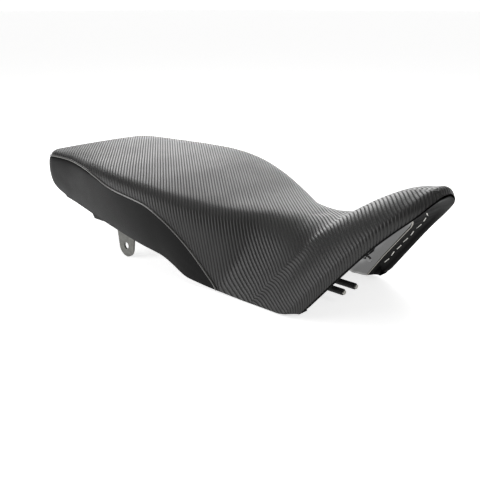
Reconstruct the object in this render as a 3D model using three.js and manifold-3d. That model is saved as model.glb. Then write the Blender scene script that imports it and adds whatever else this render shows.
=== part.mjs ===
// Dual motorcycle seat: a moulded pan carries a foam core, a three-panel cover, two forward prongs and two bolt-on tabs.
// Millimetres, +X towards the nose, +Y to the rider's left, +Z up. The origin is the middle of the footprint, on the floor.
import * as THREE from "three";
import { mergeVertices } from "three/addons/utils/BufferGeometryUtils.js";
import Module from "manifold-3d";

const wasm = await Module();
wasm.setup();

// ---------------------------------------------------------------- driving dimensions
const clearance = 0.3; // between pieces that touch or fit into each other
const coverThickness = 1.6;
const panWall = 3.2;

const body = {
  length: 676, // tail face to nose rim
  pillionWidth: 282, // between the virtual corners of the widest section
  tailWidth: 216,
  waistWidth: 108, // across the ridge in front of the rider
  noseWidth: 144,
  flapWidth: 208, // across the lower edges of the side flaps
  pillionHeight: 141,
  saddleHeight: 105,
  noseHeight: 158.5,
  tailUnderside: 72, // lower edge of the cover at the tail, above the floor
  mouthLean: 0.8, // how far the mouth leans forward for each millimetre of height
  tailBulge: 7,
  noseDome: 6.5, // how much higher the middle of the nose is than its shoulders
  domeLean: 0.5, // how much of the mouth's lean the dome above the shoulders has
  noseBow: 8, // how far the middle of the nose rim is ahead of its corners
  tailCornerRadius: 34,
  tailEdgeRadius: 10,
  mouthRoll: 11, // radius of the rolled edge round the mouth
  hemDepth: 22, // how far back the turned-in hem reaches from the mouth
  hemInset: 9, // how far inwards the pan's skirt draws in to meet the hem
};
const foam = {
  pillionDepth: 56,
  saddleDepth: 36,
  noseDepth: 30,
  sideDepth: 5, // between cover and pan at the lower edge
  edgeDrop: 0.6, // the foam reaches this far below the cover's lower edge, and the pan twice as far
};
const prong = { tipX: 225.5, height: 13, spacing: 27.2, rod: 6, collar: 11, collarLength: 3 };
const sleeve = { wall: 1.1, length: 44, tipGap: 2.5 };
const nut = { acrossCorners: 11, height: 5 };
const carrier = { front: 147, length: 34, width: 58, top: 60, lowest: 4, wall: 2.5, screwY: 17, screwBack: 20 };
const tab = { x: -125, outerFace: 101.5, thickness: 3, top: 79, tipRadius: 17.5, hole: 11, rootWidth: 40, rootZ: 34 };
const flange = { length: 62, depth: 32, screwSpacing: 36, screwInset: 19 };
const screw = { shank: 5, head: 10, headHeight: 2.8, socket: 4.6, socketDepth: 1.6, reach: 9 };
const boss = { diameter: 13, height: 15, bore: 12 };
const buffer = { x: -196.5, y: 92, length: 33, width: 16, lowest: 43, shelf: 61, shelfThickness: 3, stem: 6, cap: 9.5, capHeight: 3 };
const rib = { thickness: 2.4, depth: 6, y: 36, reach: 74, places: [-250, -62, 20, 196] };

const tailX = -body.length / 2;
const noseX = body.length / 2;
const asStation = (millimetres) => millimetres / body.length;

// ---------------------------------------------------------------- curves along the seat
// A smooth curve through [place, value] points that never overshoots them.
function smoothCurve(points) {
  const steps = points.slice(1).map(([x, y], i) => ({
    dx: x - points[i][0],
    slope: (y - points[i][1]) / (x - points[i][0]),
  }));
  const tangents = points.map((_, i) => {
    const before = steps[i - 1];
    const after = steps[i];
    if (!before) return after.slope;
    if (!after) return before.slope;
    if (before.slope * after.slope <= 0) return 0;
    const a = 2 * after.dx + before.dx;
    const b = after.dx + 2 * before.dx;
    return (a + b) / (a / before.slope + b / after.slope);
  });
  return (x) => {
    const last = points.length - 1;
    if (x <= points[0][0]) return points[0][1];
    if (x >= points[last][0]) return points[last][1];
    const i = points.findIndex(([px]) => px > x) - 1;
    const h = steps[i].dx;
    const u = (x - points[i][0]) / h;
    const rise = points[i + 1][1] - points[i][1];
    const start = h * tangents[i] * u * (1 - u) ** 2;
    const end = h * tangents[i + 1] * u * u * (1 - u);
    return points[i][1] + start + rise * u * u * (3 - 2 * u) - end;
  };
}

// Each curve runs over t, from 0 at the tail face to 1 at the mouth.
const pillionHalf = body.pillionWidth / 2;
const waistHalf = body.waistWidth / 2;
const flapHalf = body.flapWidth / 2;
const edgeHalf = smoothCurve([
  [0.0, body.tailWidth / 2],
  [0.126, body.tailWidth * 0.53],
  [0.244, pillionHalf * 0.93],
  [0.362, pillionHalf],
  [0.422, pillionHalf * 0.985],
  [0.481, pillionHalf * 0.94],
  [0.54, pillionHalf * 0.855],
  [0.6, pillionHalf * 0.73],
  [0.64, waistHalf * 1.61],
  [0.69, waistHalf * 1.22],
  [0.747, waistHalf * 1.06],
  [0.82, waistHalf],
  [0.9, waistHalf * 1.07],
  [1.0, body.noseWidth / 2],
]);
const edgeHeight = smoothCurve([
  [0.0, body.pillionHeight * 0.985],
  [0.126, body.pillionHeight],
  [0.303, body.pillionHeight * 0.985],
  [0.362, body.pillionHeight * 0.967],
  [0.422, body.pillionHeight * 0.935],
  [0.481, body.saddleHeight * 1.19],
  [0.54, body.saddleHeight * 1.12],
  [0.6, body.saddleHeight * 1.05],
  [0.66, body.saddleHeight * 1.015],
  [0.747, body.saddleHeight],
  [0.79, body.saddleHeight * 1.03],
  [0.82, body.noseHeight * 0.715],
  [0.85, body.noseHeight * 0.795],
  [0.88, body.noseHeight * 0.87],
  [0.91, body.noseHeight * 0.93],
  [0.94, body.noseHeight * 0.972],
  [0.97, body.noseHeight * 0.994],
  [1.0, body.noseHeight],
]);
const lowHalf = smoothCurve([
  [0.0, body.tailWidth / 2 - 7],
  [0.105, body.tailWidth / 2 - 2],
  [0.29, pillionHalf * 0.82],
  [0.42, pillionHalf * 0.842],
  [0.53, flapHalf * 1.08],
  [0.62, flapHalf * 1.035],
  [0.76, flapHalf],
  [1.0, flapHalf * 0.985],
]);
const lowHeight = smoothCurve([
  [0.0, body.tailUnderside],
  [0.105, body.tailUnderside * 0.92],
  [0.19, body.tailUnderside * 0.81],
  [0.29, body.tailUnderside * 0.67],
  [0.4, body.tailUnderside * 0.52],
  [0.465, body.tailUnderside * 0.43],
  [0.504, body.tailUnderside * 0.285],
  [0.53, body.tailUnderside * 0.17],
  [0.55, body.tailUnderside * 0.11],
  [0.58, body.tailUnderside * 0.074],
  [0.68, body.tailUnderside * 0.02],
  [0.8, 0],
  [0.965, 0],
  [0.985, 2],
  [1.0, 9],
]);
const edgeRadius = smoothCurve([
  [0.0, 13],
  [0.4, 20],
  [0.66, 34],
  [0.8, 40],
  [1.0, 28],
]);
const foamDepth = smoothCurve([
  [0.0, foam.pillionDepth * 0.8],
  [0.3, foam.pillionDepth],
  [0.6, foam.saddleDepth],
  [0.85, foam.saddleDepth],
  [1.0, foam.noseDepth],
]);
const lean = (t) => body.mouthLean * THREE.MathUtils.smoothstep(t, 0.45, 0.93);
const noseDome = (t) => body.noseDome * THREE.MathUtils.smoothstep(t, 0.84, 0.97);

const fineStations = [
  0, 0.002, 0.006, 0.013, 0.023, 0.036, 0.05, 0.08, 0.12, 0.16, 0.2, 0.24, 0.28, 0.32, 0.36, 0.4, 0.435, 0.465,
  0.49, 0.51, 0.53, 0.555, 0.58, 0.61, 0.64, 0.67, 0.71, 0.75, 0.78, 0.81, 0.84, 0.87, 0.9, 0.93, 0.955, 0.975,
  0.985, 0.991, 0.996, 1,
];
const coarseStations = [
  0.012, 0.02, 0.03, 0.05, 0.1, 0.16, 0.22, 0.28, 0.34, 0.4, 0.45, 0.49, 0.52, 0.555, 0.59, 0.63, 0.67, 0.72,
  0.77, 0.81, 0.85, 0.89, 0.92, 0.945,
];

// ---------------------------------------------------------------- cross-sections
// What a quarter-round of that radius takes off a surface at a distance from its end.
function roundOff(radius, distance) {
  const d = THREE.MathUtils.clamp(distance, 0, radius);
  return radius - Math.sqrt(radius ** 2 - (radius - d) ** 2);
}

// Half an arch in the YZ plane, from the middle of the top to the lower edge. drop lengthens or shortens its foot.
function halfArch({ half, top, crown, low, lowZ, radius, bulge }, drop) {
  const corner = new THREE.Vector2(half, top);
  const foot = new THREE.Vector2(low, lowZ);
  const along = foot.clone().sub(corner);
  const outward = new THREE.Vector2(-along.y, along.x).normalize();
  const belly = corner.clone().add(foot).multiplyScalar(0.5).addScaledVector(outward, bulge * 2);
  const side = new THREE.QuadraticBezierCurve(corner, belly, foot);
  const r = Math.min(radius, half * 0.8, along.length() * 0.6);
  const topEnd = half - r;
  const topHeight = (y) => top + crown * (1 - (y / half) ** 2);
  const sideStart = r / along.length();
  const bendStart = new THREE.Vector2(topEnd, topHeight(topEnd));
  const bend = new THREE.QuadraticBezierCurve(bendStart, corner, side.getPoint(sideStart));
  const topSteps = 3;
  const bendSteps = 4;
  const sideSteps = 4;
  const points = [];
  for (let i = 0; i < topSteps; i++) {
    const y = (topEnd * i) / topSteps;
    points.push(new THREE.Vector2(y, topHeight(y)));
  }
  for (let i = 0; i < bendSteps; i++) points.push(bend.getPoint(i / bendSteps));
  const sideEnd = 1 + Math.min(drop, 0) / (top - lowZ);
  for (let i = 0; i <= sideSteps; i++) {
    points.push(side.getPoint(THREE.MathUtils.lerp(sideStart, sideEnd, i / sideSteps)));
  }
  if (drop > 0) points.push(new THREE.Vector2(low, lowZ - drop));
  return points;
}

// The outer skin's section at t, pulled in by an inset.
function skinSection(t, inset) {
  const fromTail = t * body.length - inset;
  const fromMouth = (1 - t) * body.length - inset;
  const roll = roundOff(body.mouthRoll - inset, fromMouth);
  const corner = roundOff(body.tailCornerRadius - inset, fromTail);
  const edge = roundOff(body.tailEdgeRadius - inset, fromTail);
  return {
    half: edgeHalf(t) - inset - roll - corner,
    top: edgeHeight(t) - inset - roll - edge,
    crown: THREE.MathUtils.lerp(1.5, 5, THREE.MathUtils.smoothstep(t, 0.6, 1)) + noseDome(t),
    low: lowHalf(t) - inset - roll * 0.5 - corner,
    lowZ: lowHeight(t),
    radius: edgeRadius(t),
    bulge: THREE.MathUtils.lerp(5, 1, THREE.MathUtils.smoothstep(t, 0.4, 0.8)),
  };
}

// The pan's section at t: its ceiling hangs under the foam, and its skirts follow the cover's lower edge.
function panSection(t, inset) {
  const drawIn = body.hemInset * THREE.MathUtils.smoothstep(t, 0.9, 0.96);
  const corner = roundOff(body.tailCornerRadius, t * body.length);
  return {
    half: edgeHalf(t) - corner - foam.sideDepth * 2.4 - drawIn - inset,
    top: Math.max(edgeHeight(t) - foamDepth(t), lowHeight(t) + panWall * 3) - inset,
    crown: THREE.MathUtils.lerp(4, 8, THREE.MathUtils.smoothstep(t, 0.7, 1)),
    low: lowHalf(t) - corner - coverThickness - clearance - foam.sideDepth - drawIn - inset,
    lowZ: lowHeight(t),
    radius: 20,
    bulge: 2,
  };
}

// The funnel between the pan's front edge and the rolled rim; the hem lies on it.
const hemStation = 1 - asStation(body.hemDepth);
function funnelSection(t, inset) {
  const inner = panSection(hemStation, panWall + inset);
  const outer = skinSection(1, inset);
  const k = (t - hemStation) / (1 - hemStation);
  const mixed = {};
  for (const name of Object.keys(inner)) mixed[name] = THREE.MathUtils.lerp(inner[name], outer[name], k);
  return mixed;
}

// ---------------------------------------------------------------- solids
function solid(geometry) {
  const bare = geometry.index ? geometry.toNonIndexed() : geometry.clone();
  const onlyPlaces = new THREE.BufferGeometry().setAttribute("position", bare.getAttribute("position"));
  const merged = mergeVertices(onlyPlaces, 1e-4);
  return new wasm.Manifold(new wasm.Mesh({
    numProp: 3,
    vertProperties: merged.attributes.position.array,
    triVerts: new Uint32Array(merged.index.array),
  }));
}

function geometryOf(manifold) {
  const mesh = manifold.getMesh();
  const geometry = new THREE.BufferGeometry();
  geometry.setAttribute("position", new THREE.BufferAttribute(mesh.vertProperties, 3));
  geometry.setIndex(new THREE.BufferAttribute(mesh.triVerts, 1));
  geometry.computeVertexNormals();
  return geometry;
}

// A closed solid over the stations between t0 and t1. drop pushes its lower edges down.
function envelope(section, inset, t0, t1, drop, stations) {
  const rings = [t0, ...stations.filter((t) => t > t0 + 0.0015 && t < t1 - 0.0015), t1];
  const loops = rings.map((t) => {
    const half = halfArch(section(t, inset), drop);
    const arch = [...half.slice(1).reverse().map((p) => new THREE.Vector2(-p.x, p.y)), ...half];
    const top = edgeHeight(t);
    const low = lowHeight(t);
    const rim = top - roundOff(body.mouthRoll, (1 - t) * body.length);
    const tailFade = THREE.MathUtils.clamp(1 - (t * body.length) / 70, 0, 1);
    const noseFade = THREE.MathUtils.smoothstep(t, 0.8, 1);
    return arch.map((p) => {
      const q = THREE.MathUtils.clamp((p.y - low) / (top - low), 0, 1);
      const bulge = body.tailBulge * tailFade * (1 - 4 * q * (1 - q));
      const bow = body.noseBow * noseFade * Math.min(Math.abs(p.x) / (body.noseWidth / 2), 1) ** 2;
      const below = Math.max(rim - p.y, (rim - p.y) * body.domeLean);
      return new THREE.Vector3(tailX + t * body.length - lean(t) * below + bulge - bow, p.x, p.y);
    });
  });
  const width = loops[0].length;
  const at = (i, j) => i * width + (j % width);
  const index = [];
  for (let i = 0; i < loops.length - 1; i++) {
    for (let j = 0; j < width; j++) {
      index.push(at(i, j), at(i + 1, j), at(i, j + 1));
      index.push(at(i, j + 1), at(i + 1, j), at(i + 1, j + 1));
    }
  }
  const end = loops.length - 1;
  for (let j = 0; j < (width - 1) / 2; j++) {
    const k = width - 1 - j;
    index.push(at(0, j), at(0, j + 1), at(0, k), at(end, j), at(end, k), at(end, j + 1));
    if (j + 1 === k - 1) continue;
    index.push(at(0, j + 1), at(0, k - 1), at(0, k), at(end, j + 1), at(end, k), at(end, k - 1));
  }
  const places = new Float32Array(loops.flat().flatMap((p) => [p.x, p.y, p.z]));
  const geometry = new THREE.BufferGeometry();
  geometry.setAttribute("position", new THREE.BufferAttribute(places, 3));
  geometry.setIndex(index);
  return solid(geometry);
}

function box(x, y, z, length, width, height) {
  return solid(new THREE.BoxGeometry(length, width, height).translate(x, y, z));
}

// An upright cylinder between two levels.
function post(x, y, lowZ, highZ, diameter, sides = 18) {
  const geometry = new THREE.CylinderGeometry(diameter / 2, diameter / 2, highZ - lowZ, sides);
  return solid(geometry.rotateX(Math.PI / 2).translate(x, y, (lowZ + highZ) / 2));
}

// A cylinder along X between two places.
function bar(x0, x1, y, z, diameter, sides = 18) {
  const geometry = new THREE.CylinderGeometry(diameter / 2, diameter / 2, x1 - x0, sides);
  return solid(geometry.rotateZ(Math.PI / 2).translate((x0 + x1) / 2, y, z));
}

// A flat plate parallel to the XZ plane, from a shape drawn in x and z.
function uprightPlate(shape, y0, y1, steps = 10) {
  const geometry = new THREE.ExtrudeGeometry(shape, { depth: y1 - y0, bevelEnabled: false, curveSegments: steps });
  return solid(geometry.rotateX(Math.PI / 2).translate(0, y1, 0));
}

// ---------------------------------------------------------------- cover, foam and pan
const skinInset = (inset, drop) => envelope(skinSection, inset, asStation(inset), 1 - asStation(inset), drop, fineStations);
const funnel = (inset) => {
  const start = hemStation + asStation(inset * 1.5);
  return envelope(funnelSection, inset, start, 1.03, 30, []);
};
const foamGap = coverThickness + clearance;

const panTail = asStation(9);
const panFront = hemStation - asStation(coverThickness * 1.5 + clearance * 2.5);
const panStations = [...coarseStations, panFront];
const panOuter = (inset, drop) =>
  envelope(panSection, inset, panTail + asStation(inset), panFront, drop, panStations);
const panFill = (inset, drop) => envelope(panSection, inset, panTail + asStation(inset), 1.02, drop, panStations);

const shell = skinInset(0, 0)
  .subtract(skinInset(coverThickness, 30).subtract(funnel(-coverThickness)))
  .subtract(funnel(0))
  .subtract(panFill(panWall, 30));
const foamBody = skinInset(foamGap, foam.edgeDrop).subtract(panFill(-clearance * 1.7, 30)).subtract(funnel(-foamGap));

// ---------------------------------------------------------------- fixings the pan has to carry
const sides = [["right", -1], ["left", 1]];
const carrierMiddle = carrier.front - carrier.length / 2;
const carrierScrews = [
  { name: "bracket_screw_front_right", x: carrier.front - 8, y: -carrier.screwY },
  { name: "bracket_screw_front_left", x: carrier.front - 8, y: carrier.screwY },
  { name: "bracket_screw_rear_right", x: carrier.front - 8 - carrier.screwBack, y: -carrier.screwY },
  { name: "bracket_screw_rear_left", x: carrier.front - 8 - carrier.screwBack, y: carrier.screwY },
].map((place) => ({ ...place, seat: carrier.top, plate: carrier.wall }));
const tabScrewY = tab.outerFace - flange.screwInset;
const tabScrews = sides.flatMap(([side, sign]) => [
  { name: `tab_screw_front_${side}`, x: tab.x + flange.screwSpacing / 2, y: sign * tabScrewY },
  { name: `tab_screw_rear_${side}`, x: tab.x - flange.screwSpacing / 2, y: sign * tabScrewY },
]).map((place) => ({ ...place, seat: tab.top, plate: tab.thickness }));
const screwPlaces = [...carrierScrews, ...tabScrews];

const hole = (diameter) => diameter + 2 * clearance;
const merge = (solids) => solids.reduce((all, next) => all.add(next));
const cut = (body0, solids) => solids.reduce((left, next) => left.subtract(next), body0);

const panSolid = panOuter(0.4, 30);
const flatPads = merge([
  box(carrierMiddle, 0, carrier.top + 30, carrier.length + 4, carrier.width + 4, 60),
  ...sides.map(([, sign]) => {
    const y = sign * (tab.outerFace - flange.depth / 2 + 1);
    return box(tab.x, y, tab.top + 30, flange.length + 4, flange.depth + 4, 60);
  }),
  ...sides.map(([, sign]) => {
    const top = buffer.shelf + buffer.shelfThickness;
    return box(buffer.x, sign * (buffer.y + 5), (buffer.shelf + top) / 2, buffer.length + 5, 30, buffer.shelfThickness);
  }),
]).intersect(panSolid);
const bosses = merge(screwPlaces.map(({ x, y, seat }) => post(x, y, seat, seat + boss.height, boss.diameter)));
const bossRoom = merge(
  screwPlaces.map(({ x, y, seat }) => post(x, y, seat, seat + boss.height + clearance, hole(boss.diameter))),
);
const ribGrid = merge([
  ...sides.map(([, sign]) => box(0, sign * rib.y, 60, body.length, rib.thickness, 200)),
  ...rib.places.map((x) => box(x, 0, 60, rib.thickness, 2 * rib.reach, 200)),
]);
const ribZone = panSolid.subtract(panFill(panWall + rib.depth, 30)).intersect(box(-20, 0, 100, 560, 300, 200));
const ribFree = merge([
  box(carrierMiddle, 0, 40, carrier.length + 14, carrier.width + 14, 78),
  ...sides.map(([, sign]) => box(tab.x, sign * 88, 40, flange.length + 14, 50, 76.5)),
  box(0, 0, 20, body.length, body.pillionWidth, 60),
]);
const ribs = cut(ribGrid.intersect(ribZone), [ribFree]);
const panShell = panOuter(0, 2 * foam.edgeDrop).subtract(panFill(panWall, 30));
const panWhole = merge([panShell, flatPads, bosses, ribs]);
// Room round each buffer and its cap, which the pan's wall stays out of.
const bufferRoom = sides.flatMap(([, sign]) => {
  const y = sign * buffer.y;
  const bodyTop = buffer.shelf - clearance / 2;
  const capLow = buffer.shelf + buffer.shelfThickness + clearance / 2;
  const [length, width] = [buffer.length, buffer.width].map(hole);
  return [
    box(buffer.x, y, (buffer.lowest + bodyTop) / 2, length, width, bodyTop - buffer.lowest),
    post(buffer.x, y, capLow, capLow + buffer.capHeight + clearance, hole(buffer.cap)),
  ];
});
const pan = cut(panWhole, [
  ...bufferRoom,
  ...screwPlaces.map(({ x, y, seat }) => post(x, y, seat - 1, seat + boss.bore, hole(screw.shank))),
  ...sides.map(([, sign]) => post(buffer.x, sign * buffer.y, buffer.shelf - 2, buffer.shelf + 8, hole(buffer.stem))),
]);
const foamCore = foamBody.subtract(bossRoom);

// ---------------------------------------------------------------- cover panels
// The seam leaves the tail's top edge, follows the crease and then drops in an S to the lower edge.
const seamLine = [
  [-400, 124], [-338, 124], [-322, 127.5], [-300, 131], [-183, 132], [-162, 129.5], [-142, 126], [-117, 121],
  [-92, 116.5], [-70, 113.5],
  [-50, 110.5], [-36, 107.5], [-25, 103], [-14, 97], [-1, 88], [11, 78], [23, 66.5], [37, 51], [48, 37], [60, 22],
  [73, 8], [90, -12], [110, -40],
];
const seamDrawnLength = 676; // the seat's length that the seam's points are drawn for
const seamScale = body.length / seamDrawnLength;
function seamRegion(shift) {
  const outline = new THREE.Shape();
  outline.moveTo(-400 * seamScale, -40);
  outline.lineTo(110 * seamScale + shift, -40);
  [...seamLine].reverse().forEach(([x, z]) => outline.lineTo(x * seamScale + shift, z + shift));
  return uprightPlate(outline, -200, 200, 1);
}
const topCover = shell.subtract(seamRegion(clearance * 0.8));
const sideCovers = shell.intersect(seamRegion(0));
const backGap = box(0, 0, 0, 2 * body.length, clearance, 1000);
const half = (sign) => box(0, sign * 250, 0, 2 * body.length, 500, 1000);

// ---------------------------------------------------------------- metal and rubber
function hexBar(x0, x1, y, z, acrossCorners) {
  const geometry = new THREE.CylinderGeometry(acrossCorners / 2, acrossCorners / 2, x1 - x0, 6);
  return solid(geometry.rotateZ(Math.PI / 2).translate((x0 + x1) / 2, y, z));
}

const carrierBack = carrier.front - carrier.length;
const carrierTop = carrier.top - clearance;
function prongCarrier() {
  const height = carrierTop - carrier.lowest;
  const outer = box(carrierMiddle, 0, carrier.lowest + height / 2, carrier.length, carrier.width, height);
  const hollow = box(
    carrierMiddle - carrier.wall, 0, carrier.lowest + height / 2 - carrier.wall,
    carrier.length, carrier.width - 2 * carrier.wall, height,
  );
  const slope = new THREE.Shape();
  slope.moveTo(carrierBack - 1, carrier.lowest - 1);
  slope.lineTo(carrier.front - 12, carrier.lowest - 1);
  slope.lineTo(carrier.front - 12, carrier.lowest + 16);
  slope.lineTo(carrierBack - 1, carrierTop - 14);
  return cut(outer, [
    hollow,
    uprightPlate(slope, -carrier.width, carrier.width),
    ...sides.map(([, sign]) => {
      const y = (sign * prong.spacing) / 2;
      return bar(carrier.front - 10, carrier.front + 2, y, prong.height, hole(prong.rod));
    }),
    ...carrierScrews.map(({ x, y }) => post(x, y, carrierTop - 8, carrierTop + 1, hole(screw.shank))),
  ]);
}

function rearTab(sign) {
  const x = tab.x;
  const r = tab.tipRadius;
  const root = tab.rootWidth / 2;
  const top = tab.top - clearance;
  const eyeZ = r - 2 * foam.edgeDrop; // the tip stands on the floor beside the pan's foot
  const outline = new THREE.Shape();
  outline.moveTo(x - flange.length / 2, top);
  outline.lineTo(x - flange.length / 2, top - 12);
  outline.quadraticCurveTo(x - root - 3, tab.rootZ + 14, x - root, tab.rootZ);
  outline.lineTo(x - r, eyeZ);
  outline.absarc(x, eyeZ, r, Math.PI, 2 * Math.PI, false);
  outline.lineTo(x + root, tab.rootZ);
  outline.quadraticCurveTo(x + root + 3, tab.rootZ + 14, x + flange.length / 2, top - 12);
  outline.lineTo(x + flange.length / 2, top);
  const eye = new THREE.Path();
  eye.absarc(x, eyeZ, tab.hole / 2, 0, 2 * Math.PI, true);
  outline.holes.push(eye);
  const inner = sign * (tab.outerFace - tab.thickness);
  const outer = sign * tab.outerFace;
  const plate = uprightPlate(outline, Math.min(inner, outer), Math.max(inner, outer));
  const middle = sign * (tab.outerFace - flange.depth / 2);
  const ledge = box(x, middle, top - tab.thickness / 2, flange.length, flange.depth, tab.thickness);
  const mine = tabScrews.filter(({ y }) => Math.sign(y) === sign);
  return cut(plate.add(ledge), mine.map((s) => post(s.x, s.y, top - 8, top + 1, hole(screw.shank))));
}

function frontProng(sign) {
  const y = (sign * prong.spacing) / 2;
  const z = prong.height;
  const face = carrier.front + clearance;
  const back = carrier.front - carrier.wall - nut.height - 3;
  return bar(back, prong.tipX, y, z, prong.rod).add(bar(face, face + prong.collarLength, y, z, prong.collar));
}

function prongSleeve(sign) {
  const y = (sign * prong.spacing) / 2;
  const end = prong.tipX - sleeve.tipGap;
  const bore = bar(end - sleeve.length - 1, end + 1, y, prong.height, hole(prong.rod));
  return bar(end - sleeve.length, end, y, prong.height, hole(prong.rod) + 2 * sleeve.wall).subtract(bore);
}

function prongNut(sign) {
  const y = (sign * prong.spacing) / 2;
  const end = carrier.front - carrier.wall - clearance;
  const bore = bar(end - nut.height - 1, end + 1, y, prong.height, hole(prong.rod));
  return hexBar(end - nut.height, end, y, prong.height, nut.acrossCorners).subtract(bore);
}

function roundHeadScrew({ x, y, seat, plate }) {
  const under = seat - 2 * clearance - plate;
  const head = post(x, y, under - screw.headHeight, under, screw.head);
  const shank = post(x, y, under - 1, seat + screw.reach, screw.shank, 14);
  const socket = post(x, y, under - screw.headHeight - 1, under - screw.headHeight + screw.socketDepth, screw.socket, 6);
  return head.add(shank).subtract(socket);
}

function railBuffer(sign) {
  const y0 = sign * buffer.y - buffer.width / 2;
  const start = buffer.x - buffer.length / 2;
  const end = buffer.x + buffer.length / 2;
  const top = buffer.shelf - clearance;
  const outline = new THREE.Shape();
  outline.moveTo(start, top);
  outline.lineTo(start, buffer.lowest + 6);
  outline.lineTo(start + 5, buffer.lowest);
  outline.lineTo(end - 2, buffer.lowest);
  outline.lineTo(end, buffer.lowest + 2);
  outline.lineTo(end, top);
  const y = sign * buffer.y;
  const above = buffer.shelf + buffer.shelfThickness + clearance;
  return uprightPlate(outline, y0, y0 + buffer.width)
    .add(post(buffer.x, y, top - 1, above + 1, buffer.stem))
    .add(post(buffer.x, y, above, above + buffer.capHeight, buffer.cap));
}

// ---------------------------------------------------------------- nodes
const blackPlastic = { color: 0x101112, roughness: 0.25, metalness: 0 };
const foamGrey = { color: 0x8f8a7c, roughness: 0.95, metalness: 0 };
const ribbedVinyl = { color: 0x2c2b2a, roughness: 0.55, metalness: 0 };
const matteVinyl = { color: 0x1d1d1d, roughness: 0.65, metalness: 0 };
const darkSteel = { color: 0x4a4a47, roughness: 0.45, metalness: 0.8 };
const zincSteel = { color: 0x9a9a96, roughness: 0.35, metalness: 1 };
const blackRubber = { color: 0x181818, roughness: 0.85, metalness: 0 };

const group = new THREE.Group();
function add(name, body0, finish) {
  const mesh = new THREE.Mesh(geometryOf(body0), new THREE.MeshStandardMaterial(finish));
  mesh.name = name;
  group.add(mesh);
}

add("seat_pan", pan, blackPlastic);
add("foam_core", foamCore, foamGrey);
add("top_cover", topCover, ribbedVinyl);
for (const [side, sign] of sides) {
  add(`side_cover_${side}`, sideCovers.intersect(half(sign)).subtract(backGap), matteVinyl);
}
add("prong_bracket", prongCarrier(), darkSteel);
for (const [side, sign] of sides) {
  add(`front_prong_${side}`, frontProng(sign), zincSteel);
  add(`prong_sleeve_${side}`, prongSleeve(sign), blackRubber);
  add(`prong_nut_${side}`, prongNut(sign), zincSteel);
  add(`rear_tab_${side}`, rearTab(sign), darkSteel);
  add(`rail_buffer_${side}`, railBuffer(sign), blackRubber);
}
for (const place of screwPlaces) add(place.name, roundHeadScrew(place), zincSteel);

// The whole seat is centred on its footprint and stands on the floor.
const whole = new THREE.Box3().setFromObject(group);
for (const mesh of group.children) mesh.geometry.translate(-(whole.min.x + whole.max.x) / 2, 0, -whole.min.z);

export default group;
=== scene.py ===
"""Looks of a two-up motorcycle seat: vinyl panels over foam, piping, hems, staples, a gloss pan and its fittings."""
from math import cos, hypot, pi, radians, sin, sqrt, tan

import bmesh
import bpy
from mathutils import Matrix, Vector, kdtree, noise


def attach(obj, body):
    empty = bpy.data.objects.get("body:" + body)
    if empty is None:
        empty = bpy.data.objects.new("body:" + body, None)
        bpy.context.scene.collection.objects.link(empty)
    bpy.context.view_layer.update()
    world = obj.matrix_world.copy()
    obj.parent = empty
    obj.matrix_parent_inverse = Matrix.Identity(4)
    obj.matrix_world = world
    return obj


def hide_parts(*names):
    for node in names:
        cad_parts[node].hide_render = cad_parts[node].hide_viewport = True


bl_info = {
    "name": "Motorcycle Seat Looks",
    "version": (1, 0, 0),
    "blender": (4, 5, 0),
    "location": "3D View > Sidebar > Seat",
    "description": "Builds the upholstery, pan and fittings of a two-up motorcycle seat round its CAD frame",
    "category": "Object",
}

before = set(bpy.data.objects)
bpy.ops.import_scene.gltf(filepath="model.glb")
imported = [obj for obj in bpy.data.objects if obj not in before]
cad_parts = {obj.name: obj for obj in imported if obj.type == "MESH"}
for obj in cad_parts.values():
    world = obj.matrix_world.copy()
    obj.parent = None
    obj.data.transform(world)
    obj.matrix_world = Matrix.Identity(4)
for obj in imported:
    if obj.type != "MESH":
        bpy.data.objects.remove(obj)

# ------------------------------------------------------------------ the seat's body, in millimetres
LENGTH = 676.0
SHIFT_X = -1.56  # from the drawing's middle to the footprint's middle
SHIFT_Z = 1.2  # the cover's lower edge above the pan's foot
PILLION = 141.0  # half the width between the widest section's corners
WAIST = 54.0
NOSE_HALF = 72.0
TAIL_HALF = 108.0
FLAP = 104.0
PILLION_Z = 141.0
SADDLE_Z = 105.0
NOSE_Z = 158.5
UNDER_Z = 72.0
LEAN = 0.8
DOME_LEAN = 0.5  # the share of the lean that the dome over the nose has
TAIL_BULGE = 7.0
NOSE_BOW = 8.0
CORNER_R = 34.0
TAIL_EDGE_R = 10.0
ROLL_R = 11.0
NOSE_ROLL_R = 13.0  # the larger roll over the top of the nose
TAIL_WRAP = 20.0  # how far up the tail the vinyl starts to wrap under
HEM_DEPTH = 22.0
HEM_INSET = 9.0
PAN_WALL = 3.2
HEM_T = 1 - HEM_DEPTH / LENGTH  # where the foam ends
PAN_TAIL_T = 9.0 / LENGTH


def smooth_curve(points):
    """A curve through (place, value) points that never overshoots them."""
    steps = [(b[0] - a[0], (b[1] - a[1]) / (b[0] - a[0])) for a, b in zip(points, points[1:])]
    tangents = [steps[0][1]]
    for (h0, m0), (h1, m1) in zip(steps, steps[1:]):
        if m0 * m1 <= 0:
            tangents.append(0.0)
            continue
        w0 = 2 * h1 + h0
        w1 = h1 + 2 * h0
        tangents.append((w0 + w1) / (w0 / m0 + w1 / m1))
    tangents.append(steps[-1][1])

    def value(x):
        if x <= points[0][0]:
            return points[0][1]
        for i, (h, _) in enumerate(steps):
            if x <= points[i + 1][0]:
                u = (x - points[i][0]) / h
                rise = points[i + 1][1] - points[i][1]
                start = h * tangents[i] * u * (1 - u) ** 2
                end = h * tangents[i + 1] * u * u * (1 - u)
                return points[i][1] + start + rise * u * u * (3 - 2 * u) - end
        return points[-1][1]

    return value


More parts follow.
